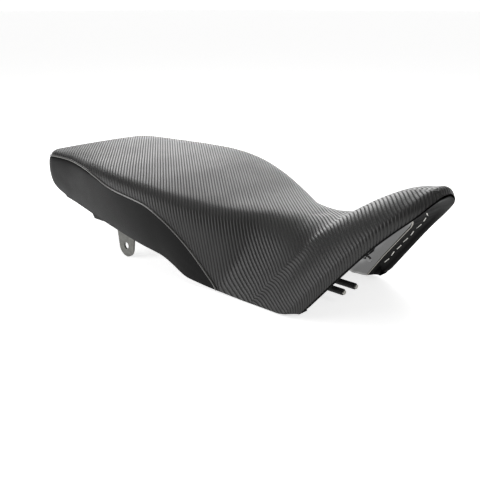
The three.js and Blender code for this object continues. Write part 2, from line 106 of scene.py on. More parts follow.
edge_half = smooth_curve([
    (0.0, TAIL_HALF), (0.126, TAIL_HALF * 1.06), (0.244, PILLION * 0.93), (0.362, PILLION),
    (0.422, PILLION * 0.985), (0.481, PILLION * 0.94), (0.54, PILLION * 0.855), (0.6, PILLION * 0.73),
    (0.64, WAIST * 1.61), (0.69, WAIST * 1.22), (0.747, WAIST * 1.06), (0.82, WAIST), (0.9, WAIST * 1.07),
    (1.0, NOSE_HALF),
])
edge_height = smooth_curve([
    (0.0, PILLION_Z * 0.985), (0.126, PILLION_Z), (0.303, PILLION_Z * 0.985), (0.362, PILLION_Z * 0.967),
    (0.422, PILLION_Z * 0.935), (0.481, SADDLE_Z * 1.19), (0.54, SADDLE_Z * 1.12), (0.6, SADDLE_Z * 1.05),
    (0.66, SADDLE_Z * 1.015), (0.747, SADDLE_Z), (0.79, SADDLE_Z * 1.03), (0.82, NOSE_Z * 0.715),
    (0.85, NOSE_Z * 0.795), (0.88, NOSE_Z * 0.87), (0.91, NOSE_Z * 0.93), (0.94, NOSE_Z * 0.972),
    (0.97, NOSE_Z * 0.994), (1.0, NOSE_Z),
])
low_half = smooth_curve([
    (0.0, TAIL_HALF - 7), (0.105, TAIL_HALF - 2), (0.29, PILLION * 0.82), (0.42, PILLION * 0.842),
    (0.53, FLAP * 1.08), (0.62, FLAP * 1.035), (0.76, FLAP), (1.0, FLAP * 0.985),
])
low_height = smooth_curve([
    (0.0, UNDER_Z), (0.105, UNDER_Z * 0.92), (0.19, UNDER_Z * 0.81), (0.29, UNDER_Z * 0.67), (0.4, UNDER_Z * 0.52),
    (0.465, UNDER_Z * 0.43), (0.504, UNDER_Z * 0.285), (0.53, UNDER_Z * 0.17), (0.55, UNDER_Z * 0.11),
    (0.58, UNDER_Z * 0.074), (0.68, UNDER_Z * 0.02), (0.8, 0.0), (0.97, 0.0), (0.986, 1.8), (1.0, 7.0),
])
edge_radius = smooth_curve([(0.0, 13.0), (0.4, 20.0), (0.66, 34.0), (0.8, 40.0), (0.9, 44.0), (1.0, 58.0)])
flank_bulge = smooth_curve([
    (0.0, 5.0), (0.4, 5.0), (0.6, 3.0), (0.75, 1.6), (0.82, 3.2), (0.905, -1.6), (0.96, 0.4), (1.0, 1.0),
])
foam_depth = smooth_curve([(0.0, 44.8), (0.3, 56.0), (0.6, 36.0), (0.85, 36.0), (1.0, 30.0)])


def smoothstep(x, low, high):
    u = min(max((x - low) / (high - low), 0.0), 1.0)
    return u * u * (3 - 2 * u)


def mix(a, b, k):
    return a + (b - a) * k


def round_off(radius, distance):
    """What a quarter-round takes off a surface at a distance from its end."""
    d = min(max(distance, 0.0), radius)
    return radius - sqrt(max(radius ** 2 - (radius - d) ** 2, 0.0))


def skin_section(t, inset=0.0):
    from_tail = t * LENGTH - inset
    from_mouth = (1 - t) * LENGTH - inset
    roll = round_off(ROLL_R - inset, from_mouth)
    corner = round_off(CORNER_R - inset, from_tail)
    edge = round_off(TAIL_EDGE_R - inset, from_tail)
    crown = mix(1.5, 5.0, smoothstep(t, 0.6, 1.0))
    dome = 6.5 * smoothstep(t, 0.84, 0.97) + 5.0 * smoothstep(t, 0.97, 1.0)
    return {
        "half": edge_half(t) - inset - roll - corner,
        "top": edge_height(t) - inset - round_off(NOSE_ROLL_R - inset, from_mouth) - edge,
        "crown": crown + dome,
        "low": low_half(t) - inset - roll * 0.5 - corner,
        "low_z": low_height(t),
        "radius": edge_radius(t),
        "bulge": flank_bulge(t),
    }


def pan_section(t, inset=0.0):
    draw_in = HEM_INSET * smoothstep(t, 0.9, 0.96)
    corner = round_off(CORNER_R, t * LENGTH)
    ceiling = edge_height(t) - foam_depth(t) - 9.0 * smoothstep(t, 0.86, 0.97)
    return {
        "half": edge_half(t) - corner - 12.0 - draw_in - inset,
        "top": max(ceiling, low_height(t) + PAN_WALL * 3) - inset,
        "crown": mix(4.0, 8.0, smoothstep(t, 0.7, 1.0)),
        "low": low_half(t) - corner - 6.9 - draw_in - inset,
        "low_z": low_height(t),
        "radius": 20.0,
        "bulge": 2.0,
    }


def quadratic(a, b, c, u):
    return a * (1 - u) ** 2 + b * (2 * u * (1 - u)) + c * u * u


TOP_END = 0.35  # the share of half an arch that the flat of the top takes
EDGE_END = 0.6  # and where the round edge ends and the flank starts


def half_arch(shape, k):
    """The point (y, z) on half an arch, k from 0 at the middle of the top to 1 at the lower edge."""
    corner = Vector((shape["half"], shape["top"]))
    foot = Vector((shape["low"], shape["low_z"]))
    along = foot - corner
    outward = Vector((-along.y, along.x)).normalized()
    belly = (corner + foot) * 0.5 + outward * (shape["bulge"] * 2)
    r = min(shape["radius"], shape["half"] * 0.8, along.length * 0.6)
    side_start = r / along.length
    top_end = shape["half"] - r
    if k <= TOP_END:
        y = top_end * k / TOP_END
        return Vector((y, shape["top"] + shape["crown"] * (1 - (y / shape["half"]) ** 2)))
    if k <= EDGE_END:
        start = Vector((top_end, shape["top"] + shape["crown"] * (1 - (top_end / shape["half"]) ** 2)))
        return quadratic(start, corner, quadratic(corner, belly, foot, side_start), (k - TOP_END) / 0.25)
    return quadratic(corner, belly, foot, mix(side_start, 1.0, (k - EDGE_END) / 0.4))


def in_space(t, y, z):
    """Puts a section's point in the row frame, in millimetres."""
    top = edge_height(t)
    low = low_height(t)
    rim = top - round_off(ROLL_R, (1 - t) * LENGTH)
    q = min(max((z - low) / (top - low), 0.0), 1.0)
    bulge = TAIL_BULGE * min(max(1 - t * LENGTH / 70, 0.0), 1.0) * (1 - 4 * q * (1 - q))
    bow = NOSE_BOW * smoothstep(t, 0.8, 1.0) * min(abs(y) / NOSE_HALF, 1.0) ** 2
    lean = LEAN * smoothstep(t, 0.45, 0.93)
    push = 3.0 * smoothstep(t, 0.93, 1.0) * smoothstep(q, 0.45, 0.95)
    wrap = round_off(TAIL_WRAP, z - low) * max(1 - t * LENGTH / 60, 0.0)
    x = -LENGTH / 2 + t * LENGTH - lean * max(rim - z, (rim - z) * DOME_LEAN) + bulge - bow + push + wrap * 0.8
    narrow = 1 - min(wrap * 0.5 / max(abs(y), 1.0), 0.5)
    return Vector((x + SHIFT_X, y * narrow, z + SHIFT_Z))


def skin(t, k, inset=0.0):
    """A point on the upholstery; k runs from -1 at the right lower edge to 1 at the left one."""
    p = half_arch(skin_section(t, inset), abs(k))
    return in_space(t, p.x if k >= 0 else -p.x, p.y)


def pan_face(t, k, inset=PAN_WALL):
    p = half_arch(pan_section(t, inset), abs(k))
    return in_space(t, p.x if k >= 0 else -p.x, p.y)


# ------------------------------------------------------------------ the seam between the top and the side panels
SEAM_TAIL_Z = 127.5
seam_height = smooth_curve([
    (-338.0, SEAM_TAIL_Z), (-322.0, 131.0), (-300.0, 134.0), (-250.0, 135.5), (-205.0, 134.5), (-183.0, 133.0),
    (-162.0, 130.0), (-142.0, 126.5), (-117.0, 121.0), (-92.0, 116.5), (-70.0, 113.5), (-50.0, 110.5),
    (-36.0, 107.5), (-25.0, 103.0), (-14.0, 97.0), (-1.0, 88.0), (11.0, 78.0), (23.0, 66.5), (37.0, 51.0),
    (48.0, 37.0), (60.0, 22.0), (73.0, 8.0), (90.0, -12.0),
    (110.0, -40.0),
])


def close_in(low, high, rounds, below):
    """Halves the span from low to high that many times; below(x) is true on low's side of the place sought."""
    for _ in range(rounds):
        middle = (low + high) / 2
        if below(middle):
            low = middle
        else:
            high = middle
    return low, high


def seam_k(t):
    """Where the seam crosses the arch at t, or 1 in front of the seam's foot."""
    def above(k):
        p = skin(t, k)
        return p.z - SHIFT_Z - seam_height(p.x - SHIFT_X)

    high = next((n / 60 for n in range(12, 61) if above(n / 60) < 0), None)
    if high is None:
        return 1.0
    return close_in(high - 1 / 60, high, 12, lambda k: above(k) > 0)[1]


SEAM_T = close_in(0.5, 0.8, 16, lambda t: seam_k(t) < 1)[0]  # where the seam meets the lower edge


def stations(t0, t1, step):
    """Even stations between t0 and t1, closer where the tail and the mouth are rounded."""
    places = {t0, t1}
    count = int((t1 - t0) * LENGTH / step)
    places.update(mix(t0, t1, n / count) for n in range(count + 1))
    rounds = [(CORNER_R, 0, 1), (TAIL_EDGE_R, 0, 1), (ROLL_R, 1, -1)]
    for radius, end, sign in rounds:
        places.update(end + sign * radius * (1 - cos(radians(a))) / LENGTH for a in range(10, 90, 10))
    kept = []
    for t in sorted(p for p in places if t0 <= p <= t1):
        if not kept or t - kept[-1] > 0.15 / LENGTH or t == t1:
            kept.append(t)
    return kept


def grid(columns, rows, place, chart=None):
    """A grid of columns x rows faces, each corner put at place(i, j) in millimetres, with its chart in millimetres."""
    bm = bmesh.new()
    bmesh.ops.create_grid(bm, x_segments=columns, y_segments=rows, size=1.0)
    index = {}
    for v in bm.verts:
        i = round((v.co.x + 1) / 2 * columns)
        j = round((v.co.y + 1) / 2 * rows)
        index[v] = (i, j)
        v.co = place(i, j) * 0.001
    if chart:
        layer = bm.loops.layers.uv.new("Surface")
        for face in bm.faces:
            for loop in face.loops:
                loop[layer].uv = chart(*index[loop.vert])
    return bm


def finish_piece(bm, name, material, smooth=True, weld=0.00002, outward=None):
    """Makes a bmesh an object at the origin. outward(centre, normal) is over 0 where a face points outwards."""
    bmesh.ops.remove_doubles(bm, verts=bm.verts, dist=weld)
    bmesh.ops.dissolve_degenerate(bm, edges=bm.edges, dist=weld)
    if outward is None:
        bmesh.ops.recalc_face_normals(bm, faces=bm.faces)
    else:
        bm.normal_update()
        vote = sum(1 if outward(f.calc_center_median(), f.normal) > 0 else -1 for f in bm.faces)
        if vote < 0:
            bmesh.ops.reverse_faces(bm, faces=bm.faces)
    for face in bm.faces:
        face.smooth = smooth
    mesh = bpy.data.meshes.new(name)
    bm.to_mesh(mesh)
    bm.free()
    obj = bpy.data.objects.new(name, mesh)
    bpy.context.scene.collection.objects.link(obj)
    obj.data.materials.append(material)
    return obj


def from_axis(centre, normal):
    """How far a face looks away from the seat's long axis."""
    return normal.dot(centre - Vector((centre.x * 0.9, 0, 0.03)))


def own(obj, slot, *replaced):
    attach(obj, "root")
    if replaced:
        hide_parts(*replaced)
    return obj


# ------------------------------------------------------------------ materials
def linear(code, share=1.0, lift=0.0):
    """A linear colour from an sRGB hex code, times a share, plus a lift."""
    channels = [int(code[i:i + 2], 16) / 255 for i in (1, 3, 5)]
    values = [c / 12.92 if c <= 0.04045 else ((c + 0.055) / 1.055) ** 2.4 for c in channels]
    return (*(c * share + lift for c in values), 1.0)


def add(tree, kind, at, inputs=(), output=0, stops=(), **settings):
    """Adds a node with its settings, colour stops and inputs, which are values or sockets; gives one output."""
    made = tree.nodes.new(f"ShaderNode{kind}")
    made.location = at
    for key, value in settings.items():
        setattr(made, key, value)
    for n, (place, colour) in enumerate(stops):
        elements = made.color_ramp.elements
        element = elements[n] if n < 2 else elements.new(place)
        element.position = place
        element.color = colour
    for key, value in inputs.items() if isinstance(inputs, dict) else enumerate(inputs):
        if isinstance(value, bpy.types.NodeSocket):
            tree.links.new(value, made.inputs[key])
        else:
            made.inputs[key].default_value = value
    return made.outputs[output] if made.outputs else None


def make_material(name, surface, bump=(), numbers=None):
    """A material: surface(tree) gives its colour, roughness and height, and bump the strength and distance."""
    made = bpy.data.materials.new(name)
    made.use_nodes = True
    tree = made.node_tree
    tree.nodes.clear()
    colour, roughness, height = surface(tree)
    inputs = {"Base Color": colour, "Roughness": roughness, **(numbers or {})}
    if bump:
        inputs["Normal"] = add(tree, "Bump", (300, -200), {"Height": height, "Strength": bump[0],
                                                           "Distance": bump[1]})
    shader = add(tree, "BsdfPrincipled", (600, 0), inputs)
    add(tree, "OutputMaterial", (900, 0), {"Surface": shader})
    return made


def object_place(tree):
    return add(tree, "TexCoord", (-1200, 0), output="Object")


def grains(place, millimetres, detail=3.0, roughness=0.55):
    """A noise texture's inputs, for features about that many millimetres across."""
    return {"Vector": place, "Scale": 1000.0 / millimetres, "Detail": detail, "Roughness": roughness}


def from_middle(tree, at, place, power):
    """0 in the middle of each repeat and 1 at its ends, raised to a power."""
    chain = (("FRACT",), ("MULTIPLY_ADD", 2.0, -1.0), ("ABSOLUTE",), ("POWER", power))
    made = place
    for n, (operation, *values) in enumerate(chain):
        made = add(tree, "Math", (at[0] + 180 * n, at[1]), (made, *values), operation=operation)
    return made


def ribbed_vinyl(pitch):
    """Satin black vinyl with an embossed twill: round ribs that catch the light, grooves darkened in the colour as
    painted shade, a fine grain.
    """
    def surface(tree):
        chart = add(tree, "UVMap", (-1400, 200), uv_map="Surface")
        split = add(tree, "SeparateXYZ", (-1200, 200), [chart]).node
        across = add(tree, "Math", (-1000, 300), (split.outputs["X"], pitch), operation="DIVIDE")
        edge = from_middle(tree, (-820, 300), across, 2.6)
        rib = add(tree, "Math", (-100, 300), (1.0, edge), operation="SUBTRACT")
        # short strands along each rib, stepped from one rib to the next
        number = add(tree, "Math", (-1000, 120), [across], operation="FLOOR")
        along = add(tree, "Math", (-1000, -40), (split.outputs["Y"], pitch * 1.3), operation="DIVIDE")
        stepped = add(tree, "Math", (-820, 120), (number, 0.37, along), operation="MULTIPLY_ADD")
        dip = from_middle(tree, (-640, 120), stepped, 8.0)
        height = add(tree, "Math", (60, 240), (dip, -0.12, rib), operation="MULTIPLY_ADD")
        place = object_place(tree)
        grain = add(tree, "TexNoise", (-460, -200), grains(place, 0.7, 2.0))
        worn = add(tree, "TexNoise", (-460, -420), grains(place, 60.0, 4.0))
        total = add(tree, "Math", (220, 160), (grain, 0.1, height), operation="MULTIPLY_ADD")
        # painted shade: the colour ramp darkens the vinyl from the rib tops down into the grooves
        colour = add(tree, "ValToRGB", (60, 60), [rib], stops=((0.0, linear("#050505")), (0.75, linear("#151413"))))
        shine = add(tree, "Math", (60, -60), (rib, -0.36, 0.68), operation="MULTIPLY_ADD")
        roughness = add(tree, "Math", (240, -60), (worn, 0.12, shine), operation="MULTIPLY_ADD")
        return colour, roughness, total

    return make_material("Vinyl, satin black, embossed rib", surface, (1.0, 0.00095), {"Specular IOR Level": 0.5})


def grained_vinyl(name, code, rough, gloss, depth=0.00012):
    """Matte black vinyl: a pebbled leather grain about a millimetre across, with a slow change of gloss."""
    def surface(tree):
        place = object_place(tree)
        # pebbles 1.1 mm across
        pebbles = add(tree, "TexVoronoi", (-700, 200), {"Vector": place, "Scale": 900.0}, feature="SMOOTH_F1")
        fine = add(tree, "TexNoise", (-700, -50), grains(place, 0.5, 2.0))
        slow = add(tree, "TexNoise", (-700, -300), grains(place, 45.0))
        height = add(tree, "Math", (-400, 100), (fine, 0.4, pebbles), operation="MULTIPLY_ADD")
        colour = add(tree, "ValToRGB", (0, 150), [slow], stops=((0.3, linear(code, 0.75)), (0.7, linear(code))))
        roughness = add(tree, "Math", (0, -50), (slow, 0.14, rough - 0.07), operation="MULTIPLY_ADD")
        return colour, roughness, height

    return make_material(name, surface, (0.8, depth), {"Specular IOR Level": gloss})


def gloss_plastic(name, code, rough):
    """Moulded plastic: a slight orange peel and flow marks, under a skin that mirrors the light."""
    def surface(tree):
        place = object_place(tree)
        peel = add(tree, "TexNoise", (-700, 100), grains(place, 9.0, 2.0))
        flow = add(tree, "TexNoise", (-700, -200), grains(place, 30.0, 5.0, 0.7))
        roughness = add(tree, "Math", (0, -50), (flow, 0.12, rough - 0.05), operation="MULTIPLY_ADD")
        return linear(code), roughness, peel

    return make_material(name, surface, (0.6, 0.00005), {"Specular IOR Level": 0.9, "Coat Weight": 1.0,
                                                         "Coat Roughness": 0.04, "Coat IOR": 1.9})


def steel(name, code, rough, metallic):
    """Coated or plated steel: fine speckle in its gloss, a little darker in patches."""
    def surface(tree):
        place = object_place(tree)
        speckle = add(tree, "TexNoise", (-700, 100), grains(place, 0.8))
        patches = add(tree, "TexNoise", (-700, -200), grains(place, 6.0, 4.0))
        colour = add(tree, "ValToRGB", (0, 150), [patches], stops=((0.35, linear(code, 0.7)), (0.65, linear(code))))
        roughness = add(tree, "Math", (0, -50), (speckle, 0.2, rough - 0.1), operation="MULTIPLY_ADD")
        return colour, roughness, speckle

    return make_material(name, surface, (0.4, 0.00006), {"Metallic": metallic})


def rubber(name, code):
    """Moulded rubber: matte, with a dusty bloom."""
    def surface(tree):
        place = object_place(tree)
        bloom = add(tree, "TexNoise", (-700, 100), grains(place, 7.0, 5.0))
        pits = add(tree, "TexNoise", (-700, -200), grains(place, 0.6, 2.0))
        colour = add(tree, "ValToRGB", (0, 150), [bloom],
                     stops=((0.4, linear(code)), (0.8, linear(code, 1.8, 0.004))))
        return colour, 0.78, pits

    return make_material(name, surface, (0.5, 0.0001))


def textile(name, code, thread):
    """Knit or thread: soft, with a small woven bump and a sheen at its edges. thread is in millimetres."""
    turn = 6.283  # a wave repeats once for each turn of its phase

    def surface(tree):
        place = object_place(tree)
        threads = add(tree, "TexWave", (-700, 100), {"Vector": place, "Scale": 1000.0 / thread / turn,
                      "Distortion": 2.0}, output="Fac", bands_direction="DIAGONAL")
        colour = add(tree, "ValToRGB", (0, 150), [threads], stops=((0.0, linear(code, 0.6)), (0.7, linear(code))))
        return colour, 0.7, threads

    return make_material(name, surface, (0.6, 0.0001), {"Sheen Weight": 0.3})


def open_foam(name):
    """Open-cell foam: pale grey-brown, with pores 1.4 mm across darkened as painted shade."""
    def surface(tree):
        pores = add(tree, "TexVoronoi", (-700, 100), {"Vector": object_place(tree), "Scale": 700.0})
        # painted shade: the colour is darkest in the pores, where the hollow cells lie in shade
        colour = add(tree, "ValToRGB", (0, 150), [pores], stops=((0.1, linear("#4a463c")), (0.5, linear("#9a9484"))))
        return colour, 0.95, pores

    return make_material(name, surface, (0.8, 0.0004))


FINISHES = {
    "grained": (grained_vinyl, "Vinyl, matte black, fine leather grain", "#090909", 0.5, 0.12),
    "hem": (grained_vinyl, "Vinyl, matte black, stretched hem", "#080808", 0.6, 0.08, 0.00008),
    # painted highlight: the piping's black vinyl is given a mid grey colour to stand in for the light along the cord
    "piping": (grained_vinyl, "Vinyl piping, satin black", "#42413f", 0.2, 1.0, 0.00003),
    "backing": (textile, "Knit backing, light grey", "#a7a39b", 0.8),
    "thread": (textile, "Thread, dark grey polyester", "#807e7a", 0.5),
    "pan": (gloss_plastic, "Plastic, gloss black, moulded", "#0a0a0b", 0.1),
    "steel": (steel, "Steel, satin dark grey coat", "#6a6a66", 0.42, 0.55),
    "zinc": (steel, "Steel, dull zinc plate", "#a9a8a2", 0.36, 1.0),
    "staple": (steel, "Staple wire, bright galvanized", "#d9d8d2", 0.28, 1.0),
    "rubber": (rubber, "Rubber, moulded black", "#141414"),
    "foam": (open_foam, "Foam, open cell"),
}


def material(finish):
    """Each finish is made once."""
    maker, name, *values = FINISHES[finish]
    return bpy.data.materials.get(name) or maker(name, *values)


# ------------------------------------------------------------------ upholstery
RIB_TOP = (0.157, 0.186)  # ribs per millimetre, along and across the seat's top
FLANK_SLACK = 5.5  # ribs gained down the right flank where the vinyl climbs the nose


def flank_rate(x):
    """Ribs per millimetre down a flank: the vinyl turns as it is pulled round the nose."""
    return mix(0.05, 0.145, smoothstep(x, 40.0, 160.0))


def seam_groove(distance, width=4.0, depth=2.8):
    """How far a panel's edge rolls in at a distance from the seam."""
    if distance >= width:
        return 0.0
    u = 1 - distance / width
    return depth * (1 - sqrt(max(1 - u * u, 0.0)))


def arch_lengths(t, steps=60):
    """Arc lengths and rib counts down half an arch, from the middle of the top."""
    lengths = [0.0]
    ribs = [0.0]
    before = skin(t, 0.0)
    for n in range(1, steps + 1):
        k = n / steps
        here = skin(t, k)
        lengths.append(lengths[-1] + (here - before).length)
        ds = hypot(here.y - before.y, here.z - before.z)
        rate = mix(RIB_TOP[1], flank_rate(here.x), smoothstep(k, 0.4, 0.62))
        ribs.append(ribs[-1] + ds * rate)
        before = here
    return lengths, ribs


def at_k(table, k):
    steps = len(table) - 1
    place = min(max(abs(k), 0.0), 1.0) * steps
    n = min(int(place), steps - 1)
    return mix(table[n], table[n + 1], place - n)


def edge_rows(count):
    """Rows from 0 to 1, closer together near the start."""
    return [0.0, 0.006, 0.014, 0.026, 0.045, 0.075] + [mix(0.11, 1.0, n / count) for n in range(count + 1)]


class Panels:
    """The sampled upholstery: stations, where the seam crosses each, and arc lengths."""

    def __init__(self, step):
        self.columns = stations(0.0, 1.0, step)
        self.seam = {}
        self.lengths = {}
        self.prepare(self.columns)

    def prepare(self, columns):
        for t in columns:
            if t not in self.seam:
                self.seam[t] = seam_k(t) if t < SEAM_T else 1.0
                self.lengths[t] = arch_lengths(t)

    def chart(self, t, k, pitch):
        """Surface coordinates in millimetres: across the ribs, then along them."""
        point = skin(t, k)
        lengths, ribs = self.lengths[t]
        sign = 1 if k >= 0 else -1
        slack = FLANK_SLACK * smoothstep(t, 0.78, 0.985) * smoothstep(-k, 0.15, 0.6)
        across = (RIB_TOP[0] * point.x + slack + sign * at_k(ribs, k)) * pitch
        along = sign * at_k(lengths, k) * 0.64 - point.x * 0.77
        return Vector((across, along))


def seam_path(step=3.0):
    """The seam's line from the right panel's foot back round the tail to the left panel's foot, in millimetres."""
    line = [skin(t, -seam_k(t), 0.3) for t in reversed(stations(0.0, SEAM_T, step))]
    start = line[-1]
    face = [Vector((start.x, start.y * (1 - 2 * n / 40), start.z)) for n in range(1, 40)]
    left = [Vector((p.x, -p.y, p.z)) for p in reversed(line)]
    return line + face + left


def seam_tree(path):
    tree = kdtree.KDTree(len(path) * 4)
    n = 0
    for a, b in zip(path, path[1:]):
        for u in range(4):
            tree.insert(a.lerp(b, u / 4), n)
            n += 1
    tree.balance()
    return tree


def undulation(point):
    """Slow unevenness of stretched vinyl over foam, in millimetres."""
    broad = noise.noise(point / 95.0) * 0.7
    fine = noise.noise(point / 24.0 + Vector((7, 3, 1))) * 0.12
    return broad + fine


def top_cover_mesh(panels, tree, pitch):
    """The ribbed panel: the whole top, the front flanks, and a strip that wraps over the tail's top edge."""
    strip = 4
    columns = panels.columns
    side = edge_rows(26)
    rows = [-(1 - r) for r in side] + [1 - r for r in reversed(side[:-1])]
    rows = [min(max(r, -1.0), 1.0) for r in rows]

    def place(i, j):
        t = columns[max(i - strip, 0)]
        k = rows[j] * panels.seam[t]
        point = skin(t, k)
        if i < strip:
            drop = 1 - i / strip
            floor = SEAM_TAIL_Z + SHIFT_Z
            z = mix(point.z, min(floor, point.z), drop)
            point = Vector((in_space(0.0, point.y, z - SHIFT_Z).x, point.y, z))
        near = tree.find(point)[2]
        if i < strip:
            return point + Vector((seam_groove(near), 0, 0))
        inset = seam_groove(near) - undulation(point) * smoothstep(near, 2.0, 30.0)
        return skin(t, k, inset)

    def chart(i, j):
        t = columns[max(i - strip, 0)]
        uv = panels.chart(t, rows[j] * panels.seam[t], pitch)
        return uv - Vector((max(strip - i, 0) * 1.2 * RIB_TOP[0] * pitch, 0))

    return grid(len(columns) - 1 + strip, len(rows) - 1, place, chart)


def side_panel_mesh(panels, tree, sign):
    """A smooth panel: from the seam down to the lower edge, and round the tail to the back seam."""
    columns = stations(0.0, SEAM_T, 4.0)[::-1]
    panels.prepare(columns)
    face = 22
    rows = edge_rows(24)

    def place(i, j):
        t = columns[min(i, len(columns) - 1)]
        k = mix(panels.seam[t], 1.0, rows[j])
        point = skin(t, k * sign)
        near = tree.find(point)[2]
        if i >= len(columns):
            share = (i - len(columns) + 1) / face
            y = point.y * (1 - share)
            seam_gap = abs(y)
            inward = seam_groove(min(near, 99.0)) + seam_groove(seam_gap, 2.2, 1.6)
            return Vector((point.x + inward - 1.5 * (1 - (y / point.y) ** 2), y, point.z))
        inset = seam_groove(near) - undulation(point) * smoothstep(near, 2.0, 30.0)
        return skin(t, k * sign, inset)

    return grid(len(columns) - 1 + face, len(rows) - 1, place)


def lower_hem_mesh(sign):
    """The vinyl's turned-under lower edge, from the mouth back to the tail on one side."""
    columns = stations(0.0, 1.0, 5.0)
    turns = 9

    def place(i, j):
        t = columns[i]
        foot = skin(t, sign)
        width = 10.4 if t < 0.93 else 10.4 + 4.0 * smoothstep(t, 0.93, 0.97)
        inner = Vector((foot.x, foot.y - sign * width, foot.z))
        if j <= 6:
            a = pi * j / 6
            middle = (foot + inner) / 2
            low = (1.0 + 0.15 * noise.noise(foot / 9.0)) * (1 - smoothstep(t, 0.975, 1.0))
            return middle + Vector((0, sign * cos(a) * width / 2, -sin(a) * low))
        rise = (j - 6) / 3 * 15.0
        pucker = 0.5 * noise.noise(Vector((foot.x / 7.0, rise / 20.0, sign)))
        return Vector((inner.x, inner.y + sign * (0.09 * rise + pucker), inner.z + rise))

    return grid(len(columns) - 1, turns, place)


def tail_hem_mesh():
    """The lower edge turned under across the tail."""
    corner = skin(0.0, 1.0)

    def place(i, j):
        y = corner.y * (1 - 2 * i / 30)
        a = pi * min(j, 6) / 6
        width = 11.5
        x = corner.x + width / 2 - cos(a) * width / 2 - 1.5 * (1 - (y / corner.y) ** 2) * (1 - j / 9)
        z = corner.z - sin(a) * 1.0 + max(j - 6, 0) * 5.0
        return Vector((x, y, z))

    return grid(30, 9, place)


def hem_edge(k):
    """The t where the hem meets the pan: deeper under the nose than on the flaps."""
    return 1 - mix(26.0, 9.5, smoothstep(abs(k), 0.25, 0.6)) / LENGTH


def mouth_ring(k, share):
    """A point on the turned-in hem; share runs from 0 at the rolled rim to 1 at the pan's edge."""
    rim = skin(1.0, k)
    back = pan_face(hem_edge(k), k, PAN_WALL)
    return rim.lerp(back, share)


def hem_rise(share, arc):
    """How far the hem stands out of its funnel: a rolled band at the rim, then flat vinyl gathered by the staples."""
    if share < 0.3:
        return 4.2 * sqrt(max(1 - (share / 0.15 - 1) ** 2, 0.0))
    gather = noise.noise(Vector((arc / 6.5, share * 1.4, 2.0))) + 0.5 * noise.noise(Vector((arc / 3.1, share, 9.0)))
    return (gather * 0.9 - 1.0) * smoothstep(share, 0.3, 0.4)


def mouth_hem_mesh():
    """The hem inside the mouth: rolled over the rim, pulled back and stapled down, with gathers between the staples."""
    rows = 170
    shares = [0.15 - 0.15 * cos(pi * n / 10) for n in range(11)] + [0.3 + 0.7 * n / 10 for n in range(1, 11)]

    def place(i, j):
        k = -1 + 2 * i / rows
        rise = hem_rise(shares[j], k * 250.0) * smoothstep(1 - abs(k), 0.0, 0.05)
        return mouth_ring(k, shares[j]) + Vector((rise, 0, 0))

    return grid(rows, len(shares) - 1, place)


def mouth_cut_edge_mesh():
    """The hem's cut edge, where the pale knit backing shows."""
    def place(i, j):
        k = -1 + 2 * i / 150
        a = mouth_ring(k, 1.0)
        b = mouth_ring(k, 1.06)
        wobble = 0.3 * noise.noise(Vector((k * 60.0, 4.0, 0.0)))
        return a.lerp(b, j / 2) + Vector((0.6 * sin(pi * j / 2) + wobble, 0, 0))

    return grid(150, 2, place)


def foam_mesh():
    """The foam between the skin and the pan: an outer and an inner arch, bridged at their rims."""
    columns = [mix(0.004, HEM_T, n / 90) for n in range(91)]
    outer = grid(90, 48, lambda i, j: skin(columns[i], -1 + j / 24, 5.5))
    inner = grid(90, 48, lambda i, j: pan_face(max(columns[i], PAN_TAIL_T), -1 + j / 24, -0.4))
    mesh = bpy.data.meshes.new("inner")
    inner.to_mesh(mesh)
    inner.free()
    outer.from_mesh(mesh)
    bpy.data.meshes.remove(mesh)
    bmesh.ops.bridge_loops(outer, edges=[e for e in outer.edges if e.is_boundary])
    return outer


CLOTH_FRAMES = 20
SMOOTHING_PASSES = 12


def puff(obj, pressure, cap):
    """Lets a panel swell as cloth between its pinned edges, along its normals and by no more than cap (metres)."""
    mesh = obj.data
    rest = [v.co.copy() for v in mesh.vertices]
    outwards = [v.normal.copy() for v in mesh.vertices]
    counts = {}
    for polygon in mesh.polygons:
        for key in polygon.edge_keys:
            counts[key] = counts.get(key, 0) + 1
    pinned = {v for key, n in counts.items() if n == 1 for v in key}
    for _ in range(2):
        grown = set(pinned)
        for edge in mesh.edges:
            if pinned.intersection(edge.vertices):
                grown.update(edge.vertices)
        pinned = grown
    group = obj.vertex_groups.new(name="pin")
    group.add(sorted(pinned), 1.0, "REPLACE")
    cloth = obj.modifiers.new("Cloth", "CLOTH")
    settings = cloth.settings
    settings.quality = 5
    settings.mass = 0.3
    settings.tension_stiffness = 40
    settings.compression_stiffness = 40
    settings.bending_stiffness = 2.0
    settings.use_pressure = True
    settings.uniform_pressure_force = pressure
    settings.vertex_group_mass = "pin"
    settings.effector_weights.gravity = 0.0
    cloth.collision_settings.use_collision = False
    scene = bpy.context.scene
    for n in range(1, CLOTH_FRAMES + 1):
        scene.frame_set(n)
    evaluated = obj.evaluated_get(bpy.context.evaluated_depsgraph_get())
    moved = [v.co.copy() for v in evaluated.data.vertices]
    obj.modifiers.remove(cloth)
    scene.frame_set(1)
    rises = [min(max((b - a).dot(n), 0.0), cap) for a, b, n in zip(rest, moved, outwards)]
    beside = [[] for _ in rest]
    for edge in mesh.edges:
        a, b = edge.vertices
        beside[a].append(b)
        beside[b].append(a)
    for _ in range(SMOOTHING_PASSES):
        rises = [0.0 if n in pinned else (rises[n] + sum(rises[m] for m in near) / len(near)) / 2
                 for n, near in enumerate(beside)]
    for vertex, start, rise, outward in zip(mesh.vertices, rest, rises, outwards):
        vertex.co = start + outward * rise
    obj.vertex_groups.remove(group)
    mesh.update()


def refine(obj):
    made = obj.modifiers.new("Subdivision", "SUBSURF")
    made.levels = made.render_levels = 1
    made.boundary_smooth = "PRESERVE_CORNERS"


